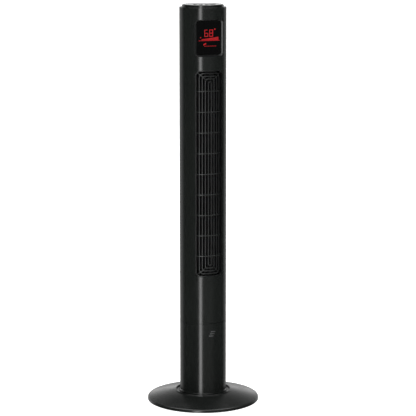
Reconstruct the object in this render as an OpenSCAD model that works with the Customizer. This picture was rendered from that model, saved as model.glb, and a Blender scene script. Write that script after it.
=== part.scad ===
// Oscillating tower fan: a slim round column on a flat round base.
// Origin on the floor at the column's axis, +Z up, the air outlet faces -Y. Millimetres.
// An azimuth is measured about the column from the front (-Y), positive towards +X.

/* [Overall] */
// Height from the floor to the tops of the control buttons
total_h = 1200; // [1180:5:1220]
// Outer radius of the round column
column_r = 70; // [69.5:0.5:71]
// Wall thickness of the moulded housings
wall = 2.4; // [2.2:0.1:2.6]

/* [Base] */
// Outer radius of the round base
base_r = 168.5; // [160:0.5:175]
// Height at which the base's sloping top begins
rim_h = 10.4; // [9:0.1:11.5]
// Height at which the sloping top meets the collar
slope_h = 28.7; // [28:0.1:29.5]
// Height of the collar round the column
collar_h = 31.5; // [31:0.1:33]
// Outer radius of the collar
collar_r = 84; // [83.5:0.1:86]
// Radius of each rubber foot
foot_r = 9; // [7:0.5:11]

/* [Swing drive] */
// Module of the swing gears
gear_module = 1.25; // [1.2:0.05:1.25]
// Teeth on the gear fixed to the base
gear_teeth = 36; // [32, 36]
// Radius of the pivot spindle
spindle_r = 8; // [7:0.5:9]
// Balls in the turntable bearing
ball_count = 12; // [8:1:16]

/* [Housings] */
// Height of the seam between the lower and upper housings
seam_z = 248.6; // [240:0.1:260]
// Width of the seam
seam_gap = 0.8; // [0.4:0.1:1.2]

/* [Air outlet] */
// Bottom of the outlet above the floor
outlet_z = 392.3; // [390:0.1:398]
// Half of the angle that the outlet spans
outlet_half_angle = 37.7; // [37:0.1:38.5]
// Angle from one upright slat to the next
slat_angle = 8.4; // [8:0.1:8.6]
// Nested loops of slats
loop_count = 4; // [3, 4]
// Distance between one loop's end and the next
loop_step = 8.4; // [8:0.1:9]
// Width of a slat, seen from the front
slat_t = 4; // [2.4:0.1:4.2]
// Height of a crossbar
crossbar_t = 2.4; // [1.8:0.1:3]
// Radius of the slats' front faces
slat_r = 64; // [63:0.5:65]
// Depth of the outlet's slats, front to back
slat_depth = 8; // [5:0.5:9]
// Crossbars, evenly spaced
crossbar_count = 9; // [7:1:11]

/* [Impeller] */
// Outer radius of the cross-flow impeller
impeller_r = 45; // [42:0.5:46]
// Blades round the impeller
blade_count = 24; // [18:1:30]
// Discs along the impeller, both ends included
disc_count = 6; // [4:1:8]

/* [Display] */
// Half of the angle that the display pocket spans at the surface
pocket_half_angle = 38.4; // [38:0.1:39]
// Half of the angle between the flat window's side edges
window_half_angle = 36; // [35.5:0.1:36.2]
// Radius at which the window's side edges lie
window_r = 65.6; // [65:0.1:66]
// Height of the display pocket
pocket_h = 108; // [104:1:110]

/* [Controls] */
// Radius of the top cap
cap_r = 62; // [61:0.5:63]
// Radius of each button
button_r = 6.5; // [5.5:0.1:7]
// Distance from the column's axis to each button
button_circle_r = 34; // [32:0.5:36]
// Angle between neighbouring buttons
button_angle = 30; // [28:1:32]

/* [Hidden] */

$fn = 96;
black = [0.10, 0.105, 0.10];
dark = [0.17, 0.18, 0.18];
steel = [0.72, 0.73, 0.74];
bronze = [0.66, 0.46, 0.25];
rubber = [0.06, 0.06, 0.06];
red = [0.85, 0.06, 0.06];

// Heights, from the floor up
foot_h = 3;
plate_t = 2.5;
plate_top = foot_h + plate_t;
skirt_z = 1.5;
hub_flange_z = 12;
hub_top = 15;
gear_seat = 17;
gear_t = 6;
ball_z = 20.3;
race_low_top = 18.3;
race_high_z = 22.3;
turntable_z = 25.6;
turntable_top = 28;
spindle_top = 45.3;
gland_z = 62;
motor_z = 306;
motor_h = 58;
bracket_t = 2.5;
duct_z = outlet_z - 14.3;
duct_plate_t = 2.5;
deck_top = total_h - 8;
deck_t = 2.6;
cap_face = total_h - 0.8;
shell_top = deck_top - deck_t;
outlet_h = total_h - 191.2 - outlet_z;
duct_top = outlet_z + outlet_h + 11.2;
pocket_z = total_h - 43 - pocket_h;
board_z = total_h - 24;
board_t = 1.6;
handle_z = total_h - 115;

// Radii and widths
bore = column_r - wall;
bay_r = bore - 1.8;
turntable_r = 80.4;
collar_bore = 81.2;
race_r = 59;
ball_r = 3;
outlet_w = 2 * column_r * sin(outlet_half_angle);
outlet_corner = 15;
corner_step = 2.5;
mitre_length = 37;
mitre_angle = 41;
pocket_w = 2 * column_r * sin(pocket_half_angle);
pocket_corner = 12;
window_w = 2 * window_r * sin(window_half_angle);
window_h = pocket_h - 8;
window_y = window_r * cos(window_half_angle);
window_t = 2;
window_corner = 9;
rib_depth = 4;
rib_proud = 0.4;
intake_half_angle = 52;
intake_w = 2 * column_r * sin(intake_half_angle);
run_fit = 0.04;
shaft_r = 4;
bush_r = 8;
panel_r = 54;
lip_r = 50;
board_screw_r = 56;
handle_w = 90;
handle_h = 40;
handle_corner = 14;
handle_back = 37;
recess_h = 64;

// Swing gears
pinion_teeth = 12;
gear_pitch_r = gear_module * gear_teeth / 2;
pinion_pitch_r = gear_module * pinion_teeth / 2;
swing_centre = gear_pitch_r + pinion_pitch_r;
pressure_angle = 20;
backlash = 0.25;
stop_r = 46;
stop_angle = 43;

// Impeller axis, off the column's own axis to leave room for the scroll
hub_x = -4;
hub_y = 6;
impeller_z = duct_z + 8;
impeller_top = duct_top - 6;

// Case screws: heights of the four pairs, and their distance from the middle
boss_x = 60.4;
boss_levels = [275, 345, total_h - 155, total_h - 35];
radial_screw_azimuths = [-150, -100, 100, 150];
radial_screw_levels = [37, seam_z - 9, seam_z + 9];
badge_proud = 0.3;

// Badge: its lowest bar's height, azimuth and size, and the steps from one bar to the next
badge_z = 209;
badge_pitch = 6.5;
badge_bar_h = 3.6;
badge_left = -4;
badge_span = 11.8;
badge_step = 2.4;

// Way for the wires up the column
wire_place = [51, -14];
wire_hole_r = 3;

// ---------------------------------------------------------------- shared shapes

// Points of a quarter circle about (x, y), from angle a0
function quarter(x, y, r, a0, n) =
    [for (i = [0:n]) let (a = a0 + 90 * i / n) [x + r * cos(a), y + r * sin(a)]];

// Points between two corners of a straight edge
function between(p, q, m) = [for (i = [1:1:m - 1]) p + (q - p) * i / m];

// Outline of a rounded rectangle, w by h, with its long edges in m steps
function rounded(w, h, r, m = 1, n = 6) = let (x = w / 2 - r, y = h / 2 - r) concat(
    quarter(x, y, r, 0, n), between([x, h / 2], [-x, h / 2], m), quarter(-x, y, r, 90, n),
    quarter(-x, -y, r, 180, n), between([-x, -h / 2], [x, -h / 2], m), quarter(x, -y, r, 270, n));

// A full ring about the column's axis
module ring(r0, r1, z0, z1) {
    rotate_extrude()
        translate([r0, z0])
            square([r1 - r0, z1 - z0]);
}

// Part of a ring, from azimuth a0 to azimuth a1
module sector(r0, r1, z0, z1, a0, a1) {
    rotate([0, 0, a0 - 90])
        rotate_extrude(angle = a1 - a0)
            translate([r0, z0])
                square([r1 - r0, z1 - z0]);
}

// Places its children at an azimuth and a radius, with their -Y pointing outwards
module at_azimuth(azimuth, r = 0) {
    rotate([0, 0, azimuth])
        translate([0, -r, 0])
            children();
}

// A block along Y from y0 to y1, with a rounded outline w wide between heights z0 and z1
module window_prism(w, z0, z1, r, y0, y1) {
    translate([0, y1, (z0 + z1) / 2])
        rotate([90, 0, 0])
            linear_extrude(y1 - y0)
                polygon(rounded(w, z1 - z0, r));
}

// A rod along Y, from y0 to y1
module rod_y(x, z, r, y0, y1) {
    translate([x, y1, z])
        rotate([90, 0, 0])
            cylinder(r = r, h = y1 - y0);
}

// Places its children at every case screw
module at_case_screws() {
    for (z = boss_levels, side = [-1, 1])
        translate([side * boss_x, 0, z])
            children();
}

// Places its children at the radial screws of one level, with -Y outwards
module at_radial_screws(z) {
    for (azimuth = radial_screw_azimuths)
        at_azimuth(azimuth)
            translate([0, 0, z])
                children();
}

// Clearance for a radial screw: its shank and its sunk head
module radial_screw_hole() {
    rod_y(0, 0, 1.7, -column_r - 3, -bay_r + 6);
    rod_y(0, 0, 3.4, -column_r - 3, -column_r + 1.3);
}

// A radial screw, its head flush with the housing
module radial_screw() {
    rod_y(0, 0, 1.5, -column_r + 1.3, -bay_r + 5);
    difference() {
        rod_y(0, 0, 3.2, -column_r + 0.1, -column_r + 1.3);
        cube([0.9, 2 * column_r - 0.9, 3.6], center = true);
        cube([3.6, 2 * column_r - 0.9, 0.9], center = true);
    }
}

// ---------------------------------------------------------------- base

// Height of the base's top at radius r: a shallow cone, slightly crowned
function slope_z(r) = let (t = (r - collar_r - 1.5) / (base_r - collar_r - 4.4))
    slope_h - (slope_h - rim_h) * pow(t, 1.15);

slope_steps = 8;
slope_radii = [for (i = [0:slope_steps]) base_r - 2.9 - (base_r - collar_r - 4.4) * i / slope_steps];
cover_bosses = 6;
cover_boss_r = 138;

module base_cover() {
    outside = concat(
        [[base_r, skirt_z], [base_r, rim_h - 3.3], [base_r - 0.4, rim_h - 1.8], [base_r - 1.3, rim_h - 0.7]],
        [for (r = slope_radii) [r, slope_z(r)]],
        [[collar_r, slope_h + 0.9], [collar_r - 0.3, collar_h - 0.8], [collar_r - 1.1, collar_h],
            [collar_bore + 0.7, collar_h], [collar_bore, collar_h - 0.7], [collar_bore, hub_top]]);
    inside = concat(
        [[collar_bore + 2.2, hub_top], [collar_bore + 2.2, slope_h - 3]],
        [for (i = [slope_steps - 1:-1:1]) [slope_radii[i], slope_z(slope_radii[i]) - 2.5]],
        [[base_r - 4, rim_h - 2.7], [base_r - 2.5, rim_h - 3.9], [base_r - 2.5, skirt_z]]);
    color(black)
        difference() {
            union() {
                rotate_extrude()
                    polygon(concat(outside, inside));
                for (i = [0:cover_bosses - 1])
                    at_azimuth(i * 360 / cover_bosses, cover_boss_r)
                        translate([0, 0, plate_top + 0.1])
                            cylinder(r = 4, h = slope_z(cover_boss_r) - plate_top - 1.4);
            }
            for (i = [0:cover_bosses - 1])
                at_azimuth(i * 360 / cover_bosses, cover_boss_r)
                    cylinder(r = 1.6, h = 12);
        }
}

module base_plate() {
    color(dark)
        difference() {
            ring(0, base_r - 4.6, foot_h, plate_top);
            for (i = [0:cover_bosses - 1])
                at_azimuth(i * 360 / cover_bosses, cover_boss_r)
                    cylinder(r = 1.8, h = 20);
        }
}

module base_weight() {
    color("dimgray")
        difference() {
            ring(90, 130, plate_top, plate_top + 5);
            for (i = [0:2])
                at_azimuth(60 + 120 * i, 110)
                    cylinder(r = 6, h = 20);
        }
}

module rubber_feet() {
    color(rubber)
        for (i = [0:5])
            at_azimuth(30 + 60 * i, 150)
                rotate_extrude()
                    polygon([[0, 0], [foot_r - 0.8, 0], [foot_r, 0.8], [foot_r, foot_h], [0, foot_h]]);
}

module base_screws() {
    color(steel)
        for (i = [0:cover_bosses - 1])
            at_azimuth(i * 360 / cover_bosses, cover_boss_r)
                difference() {
                    union() {
                        translate([0, 0, foot_h - 1.4])
                            cylinder(r = 3.2, h = 1.4);
                        translate([0, 0, foot_h - 0.4])
                            cylinder(r = 1.5, h = 9);
                    }
                    translate([0, 0, foot_h - 1.5])
                        cube([0.9, 3.6, 1.6], center = true);
                    translate([0, 0, foot_h - 1.5])
                        cube([3.6, 0.9, 1.6], center = true);
                }
}

module bearing_hub() {
    color(dark) {
        difference() {
            union() {
                ring(0, 80, hub_flange_z, hub_top);
                ring(0, 27, plate_top, hub_top);
                ring(14.3, 27, hub_top - 1, gear_seat);
                ring(72, 75, plate_top, hub_flange_z + 1);
                for (i = [0:7])
                    rotate([0, 0, 22.5 + 45 * i])
                        translate([26, -1.2, plate_top])
                            cube([47, 2.4, hub_flange_z - plate_top + 1]);
                for (a = [-stop_angle, stop_angle])
                    sector(stop_r - 4, stop_r + 4, hub_top - 1, 23, a - 3, a + 3);
            }
            translate([0, 0, 8])
                cylinder(r = 6.05, h = 20);
        }
    }
}

module lower_race() {
    color(steel)
        rotate_extrude()
            difference() {
                translate([race_r - 5, hub_top])
                    square([10, race_low_top - hub_top]);
                translate([race_r, ball_z])
                    circle(r = ball_r + 0.3);
            }
}

module upper_race() {
    color(steel)
        rotate_extrude()
            difference() {
                translate([race_r - 5, race_high_z])
                    square([10, turntable_z - race_high_z]);
                translate([race_r, ball_z])
                    circle(r = ball_r + 0.3);
            }
}

module ball_cage() {
    color("ivory")
        difference() {
            ring(race_r - 4.6, race_r + 4.6, ball_z - 1, ball_z + 1);
            for (i = [0:ball_count - 1])
                at_azimuth(i * 360 / ball_count, race_r)
                    cylinder(r = ball_r + 0.15, h = 40);
        }
}

module bearing_balls() {
    color(steel)
        for (i = [0:ball_count - 1])
            at_azimuth(i * 360 / ball_count, race_r)
                translate([0, 0, ball_z])
                    sphere(r = ball_r);
}

// Involute of a base circle, at roll angle t in degrees
function involute(rb, t) = rb * [cos(t) + t * PI / 180 * sin(t), sin(t) - t * PI / 180 * cos(t)];
function turned(p, a) = [p[0] * cos(a) - p[1] * sin(a), p[0] * sin(a) + p[1] * cos(a)];

// Outline of a spur gear with a tooth centred on +X
module gear_outline(teeth, addendum) {
    pitch_r = gear_module * teeth / 2;
    rb = pitch_r * cos(pressure_angle);
    tip_r = pitch_r + addendum;
    root_r = pitch_r - 1.25 * gear_module;
    roll_pitch = sqrt(pow(pitch_r / rb, 2) - 1) * 180 / PI;
    roll_tip = sqrt(pow(tip_r / rb, 2) - 1) * 180 / PI;
    half_tooth = 90 / teeth + (roll_pitch - pressure_angle) - backlash / 2 / pitch_r * 180 / PI;
    steps = 4;
    flank = [for (i = [0:steps]) turned(involute(rb, roll_tip * i / steps), -half_tooth)];
    low = root_r * [cos(half_tooth), -sin(half_tooth)];
    tooth = concat([low], flank, [for (i = [steps:-1:0]) [flank[i][0], -flank[i][1]]], [[low[0], -low[1]]]);
    polygon([for (k = [0:teeth - 1], p = tooth) turned(p, 360 * k / teeth)]);
}

module swing_gear() {
    color("ivory")
        translate([0, 0, gear_seat])
            difference() {
                rotate([0, 0, 180 / gear_teeth])
                    linear_extrude(gear_t)
                        gear_outline(gear_teeth, 0.8 * gear_module);
                translate([0, 0, -1])
                    cylinder(r = spindle_r + 0.1, h = 20);
            }
}

module swing_pinion() {
    color("ivory")
        translate([0, swing_centre, gear_seat + 0.4])
            union() {
                linear_extrude(gear_t)
                    gear_outline(pinion_teeth, gear_module);
                cylinder(r = 2.5, h = 17);
            }
}

module pivot_spindle() {
    color(steel)
        difference() {
            union() {
                ring(0, 6, 8.2, gear_seat);
                ring(0, 14, hub_top, gear_seat - 0.1);
                ring(0, spindle_r, hub_top + 1, spindle_top);
            }
            translate([0, 0, 26])
                cylinder(r = 2.6, h = 30);
        }
}

module pivot_washer() {
    color(steel)
        ring(2.7, spindle_r + 5, spindle_top, spindle_top + 2);
}

module pivot_screw() {
    color(steel)
        difference() {
            union() {
                ring(0, 2.5, spindle_top - 18, spindle_top + 3);
                ring(0, 5.5, spindle_top + 2, spindle_top + 6);
            }
            translate([0, 0, spindle_top + 4])
                cylinder(r = 2.5, h = 4, $fn = 6);
        }
}

// ---------------------------------------------------------------- lower column

// The turntable: a visible ring round the column, a plug inside the housing and a hub on the spindle
module column_foot() {
    color(black)
        difference() {
            union() {
                rotate_extrude()
                    polygon([[0, turntable_z], [turntable_r, turntable_z], [turntable_r, turntable_top - 0.6],
                        [turntable_r - 0.6, turntable_top], [0, turntable_top]]);
                ring(bore - 2.6, bore - 0.1, turntable_top - 0.5, turntable_top + 16);
                ring(spindle_r, spindle_r + 6, turntable_z, spindle_top - 0.3);
                for (i = [0:5])
                    rotate([0, 0, 15 + 60 * i])
                        translate([spindle_r + 5, -1, turntable_top - 0.5])
                            cube([bore - spindle_r - 7, 2, 8]);
                translate([0, -stop_r, 18.5])
                    cylinder(r = 3, h = turntable_z - 18);
            }
            cylinder(r = spindle_r + 0.05, h = 60);
            translate([0, swing_centre, 20])
                cylinder(r = 4, h = 12);
            translate([0, swing_centre + 10, turntable_top])
                cylinder(r = 25.5, h = 12);
            at_radial_screws(radial_screw_levels[0])
                radial_screw_hole();
        }
}

module lower_housing() {
    top = seam_z - seam_gap / 2;
    color(black)
        difference() {
            rotate_extrude()
                polygon([[bore, turntable_top], [column_r + 2.4, turntable_top], [column_r + 2.4, 30.4],
                    [column_r + 1.4, 32], [column_r + 0.4, 33.4], [column_r, 35], [column_r, top - 0.4],
                    [column_r - 0.4, top], [bore, top]]);
            rod_y(0, gland_z, bush_r + 0.1, 0, column_r + 5);
            at_radial_screws(radial_screw_levels[0])
                radial_screw_hole();
            at_radial_screws(radial_screw_levels[1])
                radial_screw_hole();
            badge_bars(column_r - 0.4, column_r + 1, 0.1);
        }
}

module housing_screws() {
    color(steel)
        for (z = radial_screw_levels)
            at_radial_screws(z)
                radial_screw();
}

module swing_motor() {
    color("silver")
        difference() {
            union() {
                translate([0, swing_centre + 10, turntable_top])
                    cylinder(r = 24.5, h = 18);
                translate([-21, swing_centre + 2, turntable_top + 18])
                    cube([42, 16, 4]);
                translate([0, swing_centre, turntable_top])
                    cylinder(r = 6, h = 18);
            }
            translate([0, swing_centre, turntable_top - 1])
                cylinder(r = 2.5 + run_fit, h = 9);
        }
}

// A hollow bush for the mains lead, low on the back of the column
module cord_gland() {
    color(rubber)
        translate([0, 0, gland_z])
            rotate([-90, 0, 0])
                rotate_extrude()
                    polygon([[3.8, 61], [10.5, 61], [10.5, bore - 1.5], [bush_r, bore - 1.5],
                        [bush_r, column_r + 0.2], [10, column_r + 0.2], [10, column_r + 2],
                        [8.6, column_r + 3.4], [3.8, column_r + 3.4]]);
}

module joining_ring() {
    color(dark)
        difference() {
            ring(bay_r - 1, bore - 0.1, seam_z - 15, seam_z + 15);
            at_radial_screws(radial_screw_levels[1])
                radial_screw_hole();
            at_radial_screws(radial_screw_levels[2])
                radial_screw_hole();
        }
}

// ---------------------------------------------------------------- upper column

module front_shell() {
    color(black)
        difference() {
            union() {
                sector(bore, column_r, seam_z + seam_gap / 2, shell_top, -90, 90);
                intersection() {
                    at_case_screws()
                        rod_y(0, 0, 4, -40, 0);
                    cylinder(r = column_r - 1, h = total_h);
                }
            }
            at_case_screws()
                rod_y(0, 0, 1.6, -16, 1);
            window_prism(outlet_w, outlet_z, outlet_z + outlet_h, outlet_corner, -90, -30);
            window_prism(pocket_w, pocket_z, pocket_z + pocket_h, pocket_corner, -90, -30);
        }
}

module rear_shell() {
    z0 = seam_z + seam_gap / 2;
    color(black)
        difference() {
            union() {
                sector(bore, column_r, z0, shell_top, 90, 270);
                for (a = [[87, 92.5], [267.5, 273]])
                    sector(bore - 1.5, bore - 0.1, z0 + 20, shell_top - 20, a[0], a[1]);
                for (a = [[90.4, 94], [266, 269.6]])
                    sector(bore - 1, bore + 0.5, z0 + 21, shell_top - 21, a[0], a[1]);
                intersection() {
                    at_case_screws()
                        rod_y(0, 0, 5.4, 0, 40);
                    cylinder(r = column_r - 1, h = total_h);
                }
            }
            at_case_screws()
                rod_y(0, 0, 3.6, 5, 60);
            at_case_screws()
                rod_y(0, 0, 1.75, -1, 10);
            window_prism(intake_w, outlet_z, outlet_z + outlet_h, outlet_corner, 20, 90);
            window_prism(handle_w, handle_z, handle_z + handle_h, handle_corner, 20, 90);
            at_radial_screws(radial_screw_levels[2])
                radial_screw_hole();
        }
}

module shell_screws() {
    color(steel)
        at_case_screws()
            difference() {
                union() {
                    rod_y(0, 0, 1.5, -13, 5.5);
                    rod_y(0, 0, 3.2, 5, 7.4);
                }
                rod_y(0, 0, 0.9, 6, 9);
            }
}

// Rectangle outline ring for a loop of slats
module loop_outline(half_w, half_h, r) {
    difference() {
        polygon(rounded(2 * half_w + slat_t, 2 * half_h + slat_t, r + slat_t / 2));
        polygon(rounded(2 * half_w - slat_t, 2 * half_h - slat_t, r - slat_t / 2));
    }
}

// Crossbars right across a grille w wide
module crossbars(w) {
    for (k = [1:crossbar_count])
        translate([-w / 2, outlet_h * (k / (crossbar_count + 1) - 0.5) - crossbar_t / 2])
            square([w, crossbar_t]);
}

// The outlet's nested loops of slats, seen from the front
module outlet_loops() {
    for (k = [1:loop_count]) {
        half_w = (slat_r - 1) * sin((loop_count + 0.5 - k) * slat_angle);
        corner = min(half_w - 0.1, outlet_corner - corner_step * k);
        loop_outline(half_w, outlet_h / 2 - loop_step * k, corner);
    }
}

// The mitre ribs at the outlet's corners, and its crossbars
module outlet_ribs() {
    mitre = [outlet_w / 2 - 5, outlet_h / 2 - 5];
    for (sx = [-1, 1], sy = [-1, 1])
        scale([sx, sy])
            translate(mitre)
                rotate(180 + mitre_angle)
                    translate([0, -crossbar_t / 2])
                        square([mitre_length, crossbar_t]);
    crossbars(outlet_w - 3);
}

// The intake's upright slats, seen from behind
module intake_uprights() {
    for (k = [0:5], side = [-1, 1])
        translate([side * (slat_r - 1) * sin((k + 0.5) * slat_angle) - slat_t / 2, -outlet_h / 2])
            square([slat_t, outlet_h]);
}

// A flat pattern made into bars that follow the column, from radius r0 to r1, in an opening w wide
module curved_bars(w, r0, r1) {
    z1 = outlet_z + outlet_h;
    intersection() {
        ring(r0, r1, outlet_z, z1);
        window_prism(w - 5, outlet_z + 2.5, z1 - 2.5, outlet_corner - 2.5, -90, -20);
        translate([0, -20, outlet_z + outlet_h / 2])
            rotate([90, 0, 0])
                linear_extrude(70)
                    children();
    }
}

// A curved grille's frame in an opening w wide, with a flange behind the wall
module grille_frame(w) {
    z1 = outlet_z + outlet_h;
    difference() {
        union() {
            intersection() {
                ring(slat_r - rib_depth, column_r - 1.2, outlet_z - 5, z1 + 5);
                window_prism(w - 0.3, outlet_z + 0.15, z1 - 0.15, outlet_corner - 0.15, -90, -20);
            }
            intersection() {
                ring(bore - 2, bore - 0.1, outlet_z - 9, z1 + 9);
                window_prism(w + 8, outlet_z - 4, z1 + 4, outlet_corner + 4, -90, -20);
            }
        }
        window_prism(w - 5.4, outlet_z + 2.7, z1 - 2.7, outlet_corner - 2.7, -91, -10);
    }
}

module front_grille() {
    color(black) {
        grille_frame(outlet_w);
        curved_bars(outlet_w, slat_r - slat_depth, slat_r)
            outlet_loops();
        curved_bars(outlet_w, slat_r - rib_depth, slat_r + rib_proud)
            outlet_ribs();
    }
}

module intake_grille() {
    color(black)
        rotate([0, 0, 180]) {
            grille_frame(intake_w);
            curved_bars(intake_w, slat_r - rib_depth, slat_r)
                intake_uprights();
            curved_bars(intake_w, slat_r - rib_depth, slat_r + rib_proud)
                crossbars(intake_w - 3);
        }
}

// Point of the scroll at angle a about the impeller's axis, d outside its inner face
function scroll(a, d) = let (r = 49 + 0.18 * (a - 150) + d) [hub_x + r * cos(a), hub_y + r * sin(a)];

// The scroll: a wall that opens out from the impeller to the outlet, sealed to the housing at its back
module volute() {
    steps = 10;
    angles = [for (i = [0:steps]) 150 + 81.5 * i / steps];
    seal = [for (a = [163.5, 161.8]) bay_r * [cos(a), sin(a)]];
    path = concat([for (a = angles) scroll(a, 0)], [for (i = [steps:-1:2]) scroll(angles[i], 2)], seal,
        [for (a = [163, angles[1], angles[0]]) scroll(a, 2)]);
    color(dark)
        translate([0, 0, duct_z + duct_plate_t])
            linear_extrude(duct_top - duct_z - duct_plate_t)
                polygon(path);
}

// The stabiliser beside the outlet: a bent strip with fine ribs across its outlet face
module vortex_wall() {
    tip = [31, -30];
    mouth = [38.6, -44.6];
    back = [58.5, -29];
    rib_pitch = 8.1;
    z0 = duct_z + duct_plate_t;
    height = duct_top - z0;
    lean = atan2(mouth[1] - tip[1], mouth[0] - tip[0]);
    reach = norm(mouth - tip);
    color(dark) {
        translate([0, 0, z0])
            linear_extrude(height)
                polygon([tip, mouth, mouth + [1.8, 1.1], tip + [3, -1.2], back, back + [0, 2],
                    tip + [0.4, 1.2]]);
        for (i = [1:floor(height / rib_pitch) - 1])
            translate([tip[0], tip[1], z0 + i * rib_pitch])
                rotate([0, 0, lean])
                    translate([1, -2.4, 0])
                        cube([reach - 2.5, 3, 1.6]);
    }
}

module duct_base_plate() {
    color(dark)
        difference() {
            ring(0, bay_r, duct_z, duct_z + duct_plate_t);
            translate([hub_x, hub_y, duct_z - 1])
                cylinder(r = 9, h = 10);
            translate([wire_place[0], wire_place[1], duct_z - 1])
                cylinder(r = wire_hole_r, h = 10);
        }
}

module duct_top_plate() {
    color(dark)
        difference() {
            union() {
                ring(0, bay_r, duct_top, duct_top + duct_plate_t);
                translate([hub_x, hub_y, duct_top])
                    cylinder(r = 15.5, h = 8);
            }
            translate([hub_x, hub_y, duct_top - 1])
                cylinder(r = 12.6, h = 20);
            translate([wire_place[0], wire_place[1], duct_top - 1])
                cylinder(r = wire_hole_r, h = 10);
        }
}

// ---------------------------------------------------------------- drive

// Places its children on the impeller's axis at height z
module on_hub(z) {
    translate([hub_x, hub_y, z])
        children();
}

module bearing_bushes() {
    color(bronze)
        for (z = [motor_z + 2.4, motor_z + motor_h - 9.4, duct_top + 0.5])
            on_hub(z)
                ring(shaft_r + run_fit, bush_r, 0, 7);
}

module bearing_grommet() {
    color(rubber)
        on_hub(duct_top)
            ring(bush_r + 0.02, 12.5, 0, 8);
}

// End bell of the motor, open upwards
module end_bell() {
    rotate_extrude()
        polygon([[5, 0], [38.8, 0], [40, 1.2], [40, motor_h / 2], [37.6, motor_h / 2], [37.6, 2.4],
            [11, 2.4], [11, 9.4], [bush_r + 0.05, 9.4], [bush_r + 0.05, 2.4], [5, 2.4]]);
}

module motor_lower_bell() {
    color("silver")
        on_hub(motor_z)
            end_bell();
}

module motor_upper_bell() {
    color("silver")
        on_hub(motor_z + motor_h)
            mirror([0, 0, 1])
                end_bell();
}

module motor_stator() {
    color("slategray")
        on_hub(motor_z)
            difference() {
                ring(23.4, 37.5, 17, 41);
                for (i = [0:11])
                    rotate([0, 0, 30 * i])
                        translate([27.5, 0, 0])
                            cylinder(r = 2.6, h = 60);
            }
}

module motor_windings() {
    color("peru")
        on_hub(motor_z)
            for (z = [10.2, 41.1])
                rotate_extrude()
                    translate([24.4, z])
                        polygon([[0, 1], [1, 0], [9, 0], [10, 1], [10, 5.7], [9, 6.7], [1, 6.7], [0, 5.7]]);
}

bracket_bolts = [for (i = [0:2]) [hub_x + 46 * cos(30 + 120 * i), hub_y + 46 * sin(30 + 120 * i)]];

module motor_bracket() {
    z = motor_z + motor_h;
    color(steel)
        difference() {
            intersection() {
                ring(0, bay_r - 1, z, z + bracket_t);
                on_hub(0)
                    cylinder(r = 56, h = 500);
            }
            on_hub(z - 1)
                cylinder(r = 14, h = 10);
            translate([wire_place[0], wire_place[1], z - 1])
                cylinder(r = wire_hole_r + 0.5, h = 10);
        }
}

module motor_dampers() {
    z = motor_z + motor_h + bracket_t;
    color(rubber)
        for (p = bracket_bolts)
            translate([p[0], p[1], z])
                rotate_extrude()
                    polygon([[0, 0], [7, 0], [7, 3], [5.4, 4.2], [5.4, duct_z - z - 4.2], [7, duct_z - z - 3],
                        [7, duct_z - z], [0, duct_z - z]]);
}

module run_capacitor() {
    color("gainsboro")
        translate([30, -42, motor_z])
            union() {
                cylinder(r = 12, h = 38);
                for (side = [-1, 1])
                    translate([4 * side - 1, -3, 37])
                        cube([2, 6, 9]);
            }
}

module wiring_harness() {
    color("black")
        translate([wire_place[0], wire_place[1], 0]) {
            translate([0, 0, 60])
                cylinder(r = 2.2, h = board_z - 66);
            translate([0, 0, board_z - 8])
                cylinder(r = 4.5, h = 8);
            translate([0, 0, 54])
                cylinder(r = 4.5, h = 8);
        }
}

// One blade's section: a shallow forward-curved strip between the rim radii
blade_inner_r = impeller_r - 9;
blade_path = [[blade_inner_r, 0], [impeller_r - 4, 1.9], [impeller_r - 0.4, 5.6]];
blade_t = 1.5;
first_blade = 2.2;
disc_t = 2.4;

module blade() {
    polygon([blade_path[0], blade_path[1], blade_path[2], blade_path[2] + [-1.3, blade_t],
        blade_path[1] + [-0.5, blade_t], blade_path[0] + [0, blade_t]]);
}

module impeller() {
    pitch = (impeller_top - impeller_z - disc_t) / (disc_count - 1);
    color(dark)
        on_hub(0)
            difference() {
                union() {
                    translate([0, 0, impeller_z])
                        linear_extrude(impeller_top - impeller_z)
                            for (i = [0:blade_count - 1])
                                rotate(first_blade + 360 * i / blade_count)
                                    blade();
                    for (k = [1:disc_count - 2])
                        translate([0, 0, impeller_z + k * pitch])
                            ring(blade_inner_r - 1.5, impeller_r, 0, disc_t);
                    for (z = [impeller_z, impeller_top - disc_t])
                        ring(0, impeller_r, z, z + disc_t);
                    ring(0, 11, impeller_z, impeller_z + 20);
                    ring(0, 11, impeller_top - 16, impeller_top);
                }
                translate([0, 0, impeller_z - 1])
                    cylinder(r = shaft_r + 0.02, h = 19);
                translate([0, 0, impeller_top - 14])
                    cylinder(r = shaft_r + 0.02, h = 20);
            }
}

module motor_shaft() {
    color(steel)
        on_hub(0)
            ring(0, shaft_r, motor_z + 0.5, impeller_z + 17);
}

module motor_rotor() {
    color("gray")
        on_hub(motor_z)
            union() {
                ring(shaft_r + 0.02, 22.6, 17, 41);
                ring(12, 20, 14.5, 43.5);
            }
}

module stub_shaft() {
    color(steel)
        on_hub(0)
            ring(0, shaft_r, impeller_top - 13, duct_top + 9);
}

// ---------------------------------------------------------------- display

// Points of an outline laid on a cylinder of radius r, at height z
function on_cylinder(outline, r, z) = [for (p = outline) [p[0], -sqrt(r * r - p[0] * p[0]), z + p[1]]];

// Points of an outline in an upright plane y in front of the axis, at height z
function on_plane(outline, y, z) = [for (p = outline) [p[0], -y, z + p[1]]];

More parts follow.
